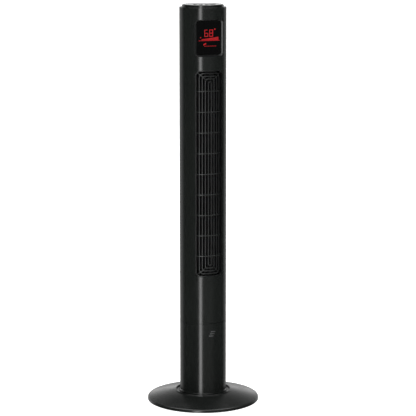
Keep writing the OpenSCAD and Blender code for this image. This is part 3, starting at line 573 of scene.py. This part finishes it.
def base_cover():
    """The cover: skirt, rounded rim, crowned cone, and collar with the sleeve that hangs from it."""
    wall, sleeve_low, sleeve_r = 2.5, COLLAR_H - 16.5, COLLAR_BORE + 2.2
    radii = [BASE_R - 6 - 4.2 * k for k in range(18)]
    rim = [(BASE_R, SKIRT_Z, 0.5), (BASE_R, RIM_H - 0.1, RIM_SOFT)]
    cone = [(r, slope_z(r), 0) for r in radii]
    collar = [
        (COLLAR_R + 1.8, SLOPE_H + 0.1, 1.2),
        (COLLAR_R, SLOPE_H + 0.3, 0.5),
        (COLLAR_R, COLLAR_H, 1.3),
        (COLLAR_BORE, COLLAR_H, 0.8),
        (COLLAR_BORE, sleeve_low, 0),
        (sleeve_r, sleeve_low, 0),
        (sleeve_r, SLOPE_H - 3, 0.6),
    ]
    underside = [(r, slope_z(r) - wall, 0) for r in reversed(radii[:-1])]
    skirt = [
        (BASE_R - 4, RIM_H - 2.7, 0),
        (BASE_R - wall, RIM_H - 3.9, 0),
        (BASE_R - wall, SKIRT_Z, 0.3),
    ]
    solid = Solid()
    lathed(solid, softened(rim + cone + collar + underside + skirt), 288)
    piece(solid, "base_cover_shell", "base", "base_shell", "base_cover")


base_cover()

# ---------------------------------------------------------------- lower housing


def shoe_radius(z):
    """Outer radius of the lower housing, which flares out over its lowest few millimetres."""
    straight, flare_h = 2.2, 4.8
    t = (z - HOUSING_LOW - straight) / flare_h
    return COLUMN_R + (SHOE_R - COLUMN_R) * (0.5 + 0.5 * math.cos(math.pi * max(0, min(1, t))))


def lower_housing():
    """The plain tube, with holes for its screws and for the mains lead's bush."""
    screw_half, screw_reach = 5.6, 4.1
    bush_r, bush_half, bush_reach = 8.1, 9, 10
    low, high = SCREW_LEVELS[:2]
    openings = []
    for z in (low, high):
        for azimuth in SCREW_AZIMUTHS:
            patch = beside(azimuth, screw_half)
            openings.append(column_opening(azimuth, patch, screw_reach, z, round_size(SCREW_HEAD_R)))
    patch = beside(180, bush_half)
    openings.append(column_opening(180, patch, bush_reach, GLAND_Z, round_size(bush_r)))

    stops = [(0, 1.5), (180 - bush_half, 1.5), (180 + bush_half, 1.6), (360, 1)]
    for azimuth in SCREW_AZIMUTHS:
        after = 1.5 if azimuth == SCREW_AZIMUTHS[-1] else 1.6
        stops += [(azimuth - screw_half, 1.2), (azimuth + screw_half, after)]
    around = lines(sorted(stops))
    heights = lines([
        (HOUSING_LOW, 0.8),
        (low - screw_reach, 1.1),
        (low + screw_reach, 6),
        (GLAND_Z - bush_reach, 1.5),
        (GLAND_Z + bush_reach, 32),
        (high - screw_reach, 1.1),
        (high + screw_reach, 2.5),
        (HOUSING_TOP, 1),
    ])

    def place(u, v, depth):
        r = BORE if depth >= WALL else shoe_radius(v) - depth
        return polar(r, u, v)

    solid = grid_plate(around[:-1], heights, openings, place, WALL, 0.35, PER_MM, wraps=True)
    piece(solid, "lower_housing_tube", "column", "housing", "lower_housing")


def badge():
    """Three stepped bars, each soft-edged."""
    left, right, step, cuts = -4, 7.8, 2.4, 12
    seat, face, end_face = COLUMN_R - 0.3, COLUMN_R + 0.3, COLUMN_R + 0.12
    solid = Solid()
    for i in range(3):
        low = BADGE_LOW + BADGE_PITCH * i
        high = low + BADGE_BAR
        rows = []
        for k in range(cuts + 1):
            azimuth = left + step * i + (right - left) * k / cuts
            r = end_face if k in (0, cuts) else face
            section = softened([(seat, low, 0), (r, low, 0.15), (r, high, 0.15), (seat, high, 0)], 2)
            rows.append([polar(r, azimuth, z) for r, z in section])
        solid.skin(rows)
    piece(solid, "badge_bars", "column", "badge", "badge")


lower_housing()
badge()

# ---------------------------------------------------------------- upper housing

# how soft the cut edges are, and how far an outlet's finely cut corners reach into it
SOFT = 0.4
CORNERS = 16


def front_shell():
    """The front half of the upper housing, with the outlet and the display's pocket cut out."""
    edge, inner_edge = 41.5, 23
    edges = (-edge, edge)
    outlet_size = (OUTLET_W, OUTLET_H, OUTLET_CORNER)
    pocket_size = (POCKET_W, POCKET_H, POCKET_CORNER)
    outlet = column_opening(0, edges, OUTLET_H / 2 + BORDER, OUTLET_MID, outlet_size)
    pocket = column_opening(0, edges, POCKET_H / 2 + BORDER, POCKET_MID, pocket_size)
    around = lines([(-90, 2), (-edge, 1.4), (-inner_edge, 2), (inner_edge, 1.4), (edge, 2), (90, 1)])
    outlet_top = OUTLET_LOW + OUTLET_H
    pocket_border, pocket_corners = 58, 41
    heights = lines([
        (SHELL_LOW, 46),
        (OUTLET_LOW - BORDER, 1.6),
        (OUTLET_LOW + CORNERS, 60),
        (outlet_top - CORNERS, 1.6),
        (outlet_top + BORDER, 32),
        (POCKET_MID - pocket_border, 1.6),
        (POCKET_MID - pocket_corners, 16),
        (POCKET_MID + pocket_corners, 1.6),
        (POCKET_MID + pocket_border, 14),
        (SHELL_TOP, 1),
    ])
    solid = grid_plate(around, heights, [outlet, pocket], on_wall, WALL, SOFT, PER_MM)
    piece(solid, "front_shell_skin", "column", "housing", "front_shell")


def screw_wells(solid):
    """Tubes from the rear shell's inside to its case screws."""
    outer_r, cuts = 5.4, 24
    wall_r = COLUMN_R - 1.2
    floors = ((WELL_R, 5), (outer_r, 0), (outer_r, None), (WELL_R, None))
    for x in (-WELL_X, WELL_X):
        for z in WELL_LEVELS:
            rows = []
            for k in range(cuts):
                a = math.tau * k / cuts
                section = []
                for r, y in floors:
                    px = x + r * math.cos(a)
                    reach = math.sqrt(wall_r ** 2 - px * px) if y is None else y
                    section.append((px, reach, z + r * math.sin(a)))
                rows.append(section)
            solid.skin(rows, looped=True)


def rear_shell():
    """The rear half, with the intake, the carrying recess, and holes for two sets of screws."""
    intake_edges, handle_edges = beside(180, 53), beside(180, 42.5)
    well_reach, screw_reach, handle_reach = 5.5, 5, HANDLE_H / 2 + BORDER
    intake_size = (INTAKE_W, OUTLET_H, OUTLET_CORNER)
    handle_size = (HANDLE_W, HANDLE_H, HANDLE_CORNER)
    openings = [
        column_opening(180, intake_edges, OUTLET_H / 2 + BORDER, OUTLET_MID, intake_size),
        column_opening(180, handle_edges, handle_reach, HANDLE_MID, handle_size),
    ]
    for x, patch in WELL_AZIMUTHS.items():
        for z in WELL_LEVELS:
            openings.append(column_opening(180, patch, well_reach, z, round_size(WELL_R), x))
    edges = {90, 270, *intake_edges, *handle_edges}
    for patch in WELL_AZIMUTHS.values():
        edges.update(patch)
    for azimuth in SCREW_AZIMUTHS:
        patch = beside(azimuth, 4)
        edges.update(patch)
        size = round_size(SCREW_HEAD_R)
        openings.append(column_opening(azimuth, patch, screw_reach, SCREW_LEVELS[2], size))
    around = lines([(azimuth, 1.4) for azimuth in sorted(edges)])

    stops = [(SHELL_LOW, 2), (SCREW_LEVELS[2] - screw_reach, 1.3), (SCREW_LEVELS[2] + screw_reach, 7)]
    for z, after in zip(WELL_LEVELS, (60, 60, 30, 20)):
        stops += [(z - well_reach, 1.5), (z + well_reach, after)]
    outlet_top = OUTLET_LOW + OUTLET_H
    stops += [(OUTLET_LOW - BORDER, 1.6), (OUTLET_LOW + CORNERS, 60)]
    stops += [(outlet_top - CORNERS, 1.6), (outlet_top + BORDER, 30)]
    stops += [(HANDLE_MID - handle_reach, 1.8), (HANDLE_MID + handle_reach, 30), (SHELL_TOP, 1)]
    solid = grid_plate(around, lines(sorted(stops)), openings, on_wall, WALL, SOFT, PER_MM)
    screw_wells(solid)
    piece(solid, "rear_shell_skin", "column", "housing", "rear_shell")


front_shell()
rear_shell()

# ---------------------------------------------------------------- grilles


def grille_frame(solid, w, facing):
    """The frame that fits the opening, with the flange behind the wall."""
    face, seat, rail = COLUMN_R - 1.2, 0.15, 2.7
    back, front = BORE - 2, BORE - 0.1
    section = softened([
        (-FLANGE, back, 0.3),
        (-FLANGE, front, 0.3),
        (seat, front, 0),
        (seat, face, 0.4),
        (rail, face, 0.5),
        (rail, RIB_BACK, 0.4),
        (seat, RIB_BACK, 0.4),
        (seat, back, 0),
    ], 2)
    framed(solid, (w, OUTLET_H, OUTLET_CORNER), section, OUTLET_MID, facing)


def crossbars(solid, w, facing):
    """Level ribs at even heights, from side to side of the frame."""
    reach = w / 2 - 1.5
    for k in range(1, CROSSBARS + 1):
        z = OUTLET_LOW + OUTLET_H * k / (CROSSBARS + 1)
        bar(solid, (-reach, z), (reach, z), RIB_T / 2, RIB_BACK + 0.1, RIB_R, facing)


def mitre_ribs(solid):
    """A slanting rib from each corner of the outlet towards its middle."""
    inset, length, angle = 5, 37, math.radians(221)
    start = Vector((OUTLET_W / 2 - inset, OUTLET_H / 2 - inset))
    end = start + length * Vector((math.cos(angle), math.sin(angle)))
    for sx in (-1, 1):
        for sz in (-1, 1):
            ends = [(sx * at.x, OUTLET_MID + sz * at.y) for at in (start, end)]
            bar(solid, *ends, RIB_T / 2, RIB_BACK + 0.05, RIB_R - 0.05)


def front_grille():
    """Nested loops of slats behind crossbars and mitre ribs, in their frame."""
    solid = Solid()
    grille_frame(solid, OUTLET_W, 0)
    half, back = SLAT_T / 2, SLAT_R - SLAT_DEPTH
    section = softened([(-half, back, 0), (-half, SLAT_R, SLAT_SOFT), (half, SLAT_R, SLAT_SOFT),
                        (half, back, 0)])
    for k in range(1, LOOPS + 1):
        half_w = (SLAT_R - 1) * math.sin(math.radians((LOOPS + 0.5 - k) * SLAT_ANGLE))
        half_h = OUTLET_H / 2 - LOOP_STEP * k
        corner = min(half_w - 0.1, OUTLET_CORNER - 2.5 * k)
        framed(solid, (2 * half_w, 2 * half_h, corner), section, OUTLET_MID)
    crossbars(solid, OUTLET_W, 0)
    mitre_ribs(solid)
    piece(solid, "outlet_grille", "column", "grille", "front_grille")


def intake_grille():
    """Upright slats and crossbars on the back, in their frame."""
    solid = Solid()
    grille_frame(solid, INTAKE_W, 180)
    reach = OUTLET_H / 2 - 1.5
    low, high = OUTLET_MID - reach, OUTLET_MID + reach
    for k in range(INTAKE_PAIRS):
        for side in (-1, 1):
            x = side * (SLAT_R - 1) * math.sin(math.radians((k + 0.5) * SLAT_ANGLE))
            bar(solid, (x, low), (x, high), SLAT_T / 2, RIB_BACK, SLAT_R, 180, SLAT_SOFT, 60)
    crossbars(solid, INTAKE_W, 180)
    piece(solid, "intake_grille_bars", "column", "grille", "intake_grille")


front_grille()
intake_grille()

# ---------------------------------------------------------------- display


def display_bezel():
    """The pocket's bevelled frame, from the round housing in to the flat window."""
    outer = (POCKET_W - 0.2, POCKET_H - 0.2, POCKET_CORNER - 0.1)
    inner = (WINDOW_W, WINDOW_H, WINDOW_CORNER)
    back = WINDOW_Y - 3.5
    level_cuts = 16

    def at_housing(inset, r):
        return [on_column(x, POCKET_MID + z, r) for x, z in rounded(*outer, inset, level_cuts)]

    def at_plane(size, inset, y):
        return [(x, -y, POCKET_MID + z) for x, z in rounded(*size, inset, level_cuts)]

    def between(first, second, share):
        return [tuple(p + (q - p) * share for p, q in zip(a, b)) for a, b in zip(first, second)]

    edge, lip = at_housing(0.4, COLUMN_R - 0.1), at_plane(inner, -0.3, WINDOW_Y + 0.28)
    side = [at_plane(outer, 0, back), at_housing(0, COLUMN_R - 0.4), at_housing(0.1, COLUMN_R - 0.18)]
    bevel = [edge] + [between(edge, lip, share) for share in (0.25, 0.5, 0.75)] + [lip]
    rows = side + bevel + [at_plane(inner, 0, WINDOW_Y), at_plane(inner, 0, back)]
    solid = Solid()
    solid.skin(rows, looped=True)
    piece(solid, "display_pocket", "column", "grille", "display_bezel", sharp=40)


def display_window():
    """The flat smoked window, with a softened edge."""
    gap, level_cuts = 0.15, 20
    outline = rounded(WINDOW_W - 2 * gap, WINDOW_H - 2 * gap, WINDOW_CORNER - gap, 0, level_cuts)
    rows = []
    for scale, depth in ((1, 2), (1, 0.3), (0.996, 0.06), (0.988, 0)):
        rows.append([(x * scale, depth - WINDOW_Y, POCKET_MID + z * scale) for x, z in outline])
    solid = Solid()
    solid.skin(rows)
    piece(solid, "display_glass", "column", "window", "display_window")


display_bezel()
display_window()

# ---------------------------------------------------------------- top


def top_deck():
    """The shoulder over the housing, with a ring that plugs into its bore."""
    hole_r, plug_r, plug_bore, plug_low = 50, BORE - 0.1, BORE - 2.2, SHELL_TOP - 11
    solid = Solid()
    lathed(solid, softened([
        (hole_r, SHELL_TOP, 0),
        (plug_bore, SHELL_TOP, 0),
        (plug_bore, plug_low, 0.3),
        (plug_r, plug_low, 0.5),
        (plug_r, SHELL_TOP, 0),
        (COLUMN_R, SHELL_TOP, 0.25),
        (COLUMN_R, DECK_TOP, 1.5),
        (hole_r, DECK_TOP, 0),
    ]))
    piece(solid, "shoulder_ring", "column", "housing", "top_deck")


def top_cap():
    """The ring round the key panel, with a ledge for it and a rounded outer edge."""
    hole_r, seat_r, bore = 50, PANEL_R + 0.1, CAP_R - 2.4
    ledge, ceiling = CAP_FACE - 2, CAP_FACE - 4
    solid = Solid()
    lathed(solid, softened([
        (CAP_R, DECK_TOP, 0),
        (CAP_R, CAP_FACE, 4),
        (seat_r, CAP_FACE, 0.35),
        (seat_r, ledge, 0),
        (hole_r, ledge, 0),
        (hole_r, ceiling, 0.3),
        (bore, ceiling, 0),
        (bore, DECK_TOP, 0),
    ], 6))
    piece(solid, "cap_ring", "column", "cap", "top_cap")


# how far the grid patch round a key reaches, in degrees and in millimetres
KEY_PATCH_HALF, KEY_PATCH_REACH = 13.5, 8.5


def button_azimuth(i):
    """The azimuth of key i: the middle one is at the front."""
    return (i - len(BUTTONS) // 2) * BUTTON_STEP


def key_opening(azimuth):
    """The round hole in the panel for the key at an azimuth, on a grid of (azimuth, radius)."""
    cx, cy, _ = polar(BUTTON_CIRCLE, azimuth, 0)
    hole_r = BUTTON_R + 0.3

    def flat(u, v):
        x, y, _ = polar(v, u, 0)
        return x - cx, y - cy

    def back(x, y, depth):
        return math.degrees(math.atan2(x + cx, -y - cy)), math.hypot(x + cx, y + cy)

    patch = beside(azimuth, KEY_PATCH_HALF) + beside(BUTTON_CIRCLE, KEY_PATCH_REACH)
    return Opening(patch, hole_r, hole_r, hole_r, flat, back)


def control_panel():
    """The round panel with a soft-edged hole for each key."""
    cuts, middle_r = 240, 3
    openings = [key_opening(button_azimuth(i)) for i in range(len(BUTTONS))]
    around = [360 * k / cuts - 180 for k in range(cuts)]
    inner, outer = beside(BUTTON_CIRCLE, KEY_PATCH_REACH)
    radii = lines([(middle_r, 8), (inner, 1.4), (outer, 6), (PANEL_R, 1)])
    thickness = PANEL_TOP - PANEL_LOW

    def place(u, v, depth):
        return polar(v, u, PANEL_TOP - depth)

    solid = grid_plate(around, radii, openings, place, thickness, 0.25, (0, 1), wraps=True, filled=True)
    piece(solid, "key_panel", "column", "control_panel", "control_panel")


control_panel()
top_deck()
top_cap()


def stroke(solid, points, half, low, high):
    """A flat line of constant width through points (x, y)."""
    sections = []
    for k, point in enumerate(points):
        before, after = Vector(points[max(0, k - 1)]), Vector(points[min(len(points) - 1, k + 1)])
        side = Vector((before.y - after.y, after.x - before.x)).normalized() * half
        a, b = Vector(point) - side, Vector(point) + side
        sections.append([(a.x, a.y, low), (b.x, b.y, low), (b.x, b.y, high), (a.x, a.y, high)])
    solid.skin(sections)


def arc(r, first, last, cx=0, cy=0, steps=16):
    """Points round (cx, cy) from angle first to last, counted from +X."""
    angles = [math.radians(first + (last - first) * k / steps) for k in range(steps + 1)]
    return [(cx + r * math.cos(a), cy + r * math.sin(a)) for a in angles]


def key_symbol(name):
    """Lines (x, y) of a key's symbol, with the panel's front towards -Y."""
    if name == "power":
        return [arc(2.4, 125, 415), [(0, 0.4), (0, 3.2)]]
    if name == "speed":
        return [[(x, -2.2), (x, -2.2 + h)] for x, h in ((-2.2, 1.6), (0, 3), (2.2, 4.4))]
    if name == "timer":
        return [arc(2.7, 0, 359), [(0, 0), (0, 1.8)], [(0, 0), (1.3, -0.6)]]
    if name == "swing":
        return [arc(3.2, 215, 325, 0, 1.6), [(-3.3, 0.9), (-2.6, -0.3), (-1.4, -0.1)],
                [(3.3, 0.9), (2.6, -0.3), (1.4, -0.1)]]
    return [arc(1.6, 90 * k + 20, 90 * k + 160, 1.3 * math.cos(math.radians(90 * k + 90)),
                1.3 * math.sin(math.radians(90 * k + 90)), 8) for k in range(4)]


def keys():
    """The five keys: dished tops, with a printed symbol on each."""
    stem_low, stem_r = span("power_button")[0][2], 2
    flange_top, flange_r = CAP_FACE - 2.3, BUTTON_R + 1
    flange_low = flange_top - 1.2
    line_half, line_low, line_high = 0.28, TOP - 0.5, TOP - 0.14
    below = [(stem_r, stem_low), (stem_r, flange_low), (flange_r, flange_low), (flange_r, flange_top),
             (BUTTON_R, flange_top)]
    rounding = [(0, 0.6), (0.12, 0.25), (0.4, 0.05), (0.8, 0)]
    dish = [(1.3, 0.08), (2, 0.18), (3, 0.25), (BUTTON_R - 0.8, 0.3)]
    profile = below + [(BUTTON_R - inset, TOP - depth) for inset, depth in rounding + dish]
    for i, name in enumerate(BUTTONS):
        cx, cy, _ = polar(BUTTON_CIRCLE, button_azimuth(i), 0)

        def place(x, y, z, cx=cx, cy=cy):
            return cx + x, cy + y, z

        key = Solid()
        turned(key, profile, place)
        piece(key, name + "_key", name + "_key", "button", name + "_button")
        symbol = Solid()
        for points in key_symbol(name):
            stroke(symbol, [(cx + x, cy + y) for x, y in points], line_half, line_low, line_high)
        piece(symbol, name + "_symbol", name + "_key", "badge")


keys()

# ---------------------------------------------------------------- rear fittings


def cord_gland():
    """The rubber bush for the mains lead, with a domed flange."""
    bore, groove_r, flange_r, inner_r, cuts = 3.8, 8, 10, 10.5, 64
    inside, wall_back, wall_face = 61, BORE - 1.5, COLUMN_R + 0.2
    shoulder, face = COLUMN_R + 2.2, COLUMN_R + 3.4
    profile = softened([
        (bore, inside, 0.3),
        (inner_r, inside, 0.3),
        (inner_r, wall_back, 0),
        (groove_r, wall_back, 0),
        (groove_r, wall_face, 0),
        (flange_r, wall_face, 0.3),
        (flange_r, shoulder, 1.2),
        (8.4, face, 0.8),
        (bore, face, 0.6),
    ], 3)
    rows = []
    for k in range(cuts):
        a = math.tau * k / cuts
        rows.append([(r * math.cos(a), y, GLAND_Z + r * math.sin(a)) for r, y in profile])
    solid = Solid()
    solid.skin(rows, looped=True)
    piece(solid, "cord_bush", "column", "rubber", "cord_gland")


cord_gland()

# ---------------------------------------------------------------- stage, light and camera

# In metres, except the lens: where the photograph was taken from, and the point that it is aimed at.
EYE = Vector((-1.804, -5.157, 1.564))
TARGET = Vector((0.0128, -0.0092, 0.59))
LENS = 160.15
LOOK = (TARGET - EYE).normalized()
AWAY = Vector((LOOK.x, LOOK.y, 0)).normalized()


def floor():
    """A wide pale floor. The dark, glossy column doesn't mirror it, as it mirrors none in the studio."""
    pale = bpy.data.materials.new("pale_floor")
    pale.use_nodes = True
    shader = pale.node_tree.nodes["Principled BSDF"]
    shader.inputs["Base Color"].default_value = (0.8, 0.8, 0.8, 1)
    shader.inputs["Roughness"].default_value = 0.9
    shader.inputs["Emission Color"].default_value = (1, 1, 1, 1)
    shader.inputs["Emission Strength"].default_value = 0.95
    radius, level, corners = 60, -0.0005, 64
    mesh = bpy.data.meshes.new("floor")
    rim = []
    for k in range(corners):
        a = math.tau * k / corners
        rim.append((radius * math.cos(a), radius * math.sin(a), level))
    mesh.from_pydata(rim, [], [tuple(range(corners))])
    mesh.materials.append(pale)
    ground = bpy.data.objects.new("floor", mesh)
    bpy.context.scene.collection.objects.link(ground)
    ground.visible_glossy = False
    ground.visible_shadow = False


def world():
    """The studio as the fan mirrors it.

    A white backdrop behind the fan, a dark room in front, a tall strip light, a broad soft panel and
    a light overhead. The camera itself sees plain white.
    """
    made = bpy.data.worlds.new("studio")
    bpy.context.scene.world = made
    made.use_nodes = True
    tree = made.node_tree
    tree.nodes.clear()

    def math_node(kind, a, b=0.0):
        node = tree.nodes.new("ShaderNodeMath")
        node.operation = kind
        for socket, value in zip(node.inputs, (a, b)):
            if isinstance(value, bpy.types.NodeSocket):
                tree.links.new(value, socket)
            else:
                socket.default_value = value
        return node.outputs[0]

    def ramp(value, low, high):
        """0 below low and 1 above high, turning smoothly between them."""
        node = tree.nodes.new("ShaderNodeMapRange")
        node.interpolation_type = "SMOOTHSTEP"
        tree.links.new(value, node.inputs["Value"])
        node.inputs["From Min"].default_value = min(low, high)
        node.inputs["From Max"].default_value = max(low, high)
        node.inputs["To Min"].default_value = 0 if low < high else 1
        node.inputs["To Max"].default_value = 1 if low < high else 0
        return node.outputs["Result"]

    coordinates = tree.nodes.new("ShaderNodeTexCoord").outputs["Generated"]
    parts = tree.nodes.new("ShaderNodeSeparateXYZ")
    tree.links.new(coordinates, parts.inputs["Vector"])
    x, y, z = parts.outputs
    level = math_node("SQRT", math_node("ADD", math_node("MULTIPLY", x, x), math_node("MULTIPLY", y, y)))
    level = math_node("MAXIMUM", level, 0.001)

    def towards(azimuth_from_camera):
        """Cosine of the level angle to a direction, counted from the camera's, positive to its right."""
        a = math.radians(azimuth_from_camera)
        right = Vector((AWAY.y, -AWAY.x, 0))
        aim = -AWAY * math.cos(a) + right * math.sin(a)
        dot = math_node("ADD", math_node("MULTIPLY", x, aim.x), math_node("MULTIPLY", y, aim.y))
        return math_node("DIVIDE", dot, level)

    def cosine(degrees):
        return math.cos(math.radians(degrees))

    def sine(degrees):
        return math.sin(math.radians(degrees))

    # The backdrop is brightest in a band just over the horizon, and fades out high up and to the sides.
    band = math_node("MULTIPLY", ramp(z, sine(1), sine(6)), ramp(z, sine(17), sine(7)))
    glow = math_node("ADD", math_node("MULTIPLY", band, 1.1), 0.44)
    glow = math_node("MULTIPLY", glow, ramp(z, sine(46), sine(8)))
    backdrop = math_node("MULTIPLY", ramp(towards(185.5), cosine(70), cosine(42)), glow)
    strip = math_node("MULTIPLY", ramp(towards(-11.5), cosine(8.5), cosine(3.5)), ramp(z, 0.6, 0.4))
    panel = math_node("MULTIPLY", ramp(towards(22), cosine(44), cosine(10)), ramp(z, 0.7, 0.4))
    overhead = ramp(z, sine(48), sine(58))
    dark_room = 0.035
    total = math_node("ADD", backdrop, dark_room)
    for light, strength in ((strip, 5.2), (panel, 0.16), (overhead, 2.6)):
        total = math_node("ADD", total, math_node("MULTIPLY", light, strength))
    background = tree.nodes.new("ShaderNodeBackground")
    background.inputs["Color"].default_value = (1, 1, 1, 1)
    tree.links.new(total, background.inputs["Strength"])
    plain = tree.nodes.new("ShaderNodeBackground")
    plain.inputs["Color"].default_value = (1, 1, 1, 1)
    plain.inputs["Strength"].default_value = 1.0
    rays = tree.nodes.new("ShaderNodeLightPath")
    mix = tree.nodes.new("ShaderNodeMixShader")
    tree.links.new(rays.outputs["Is Camera Ray"], mix.inputs["Fac"])
    tree.links.new(background.outputs["Background"], mix.inputs[1])
    tree.links.new(plain.outputs["Background"], mix.inputs[2])
    output = tree.nodes.new("ShaderNodeOutputWorld")
    tree.links.new(mix.outputs["Shader"], output.inputs["Surface"])


def soft_light(name, place, aim, size, power):
    """A large rectangular lamp."""
    lamp = bpy.data.lights.new(name, "AREA")
    lamp.shape = "RECTANGLE"
    lamp.size, lamp.size_y = size
    lamp.energy = power
    holder = bpy.data.objects.new(name, lamp)
    holder.location = place
    holder.rotation_euler = (Vector(aim) - Vector(place)).to_track_quat("-Z", "Y").to_euler()
    bpy.context.scene.collection.objects.link(holder)
    return holder


def camera():
    """The photograph's viewpoint, as seen from EYE along LOOK."""
    made = bpy.data.cameras.new("view")
    made.lens = LENS
    made.sensor_width = 36
    made.clip_end = 200
    holder = bpy.data.objects.new("view", made)
    holder.location = EYE
    holder.rotation_euler = LOOK.to_track_quat("-Z", "Y").to_euler()
    bpy.context.scene.collection.objects.link(holder)
    bpy.context.scene.camera = holder


floor()
world()
overhead = soft_light("overhead_soft", (0.6, -0.8, 3.4), (0, 0, 0.6), (2.4, 2.4), 40)
overhead.visible_glossy = False
camera()
bpy.context.scene.view_settings.view_transform = "Standard"
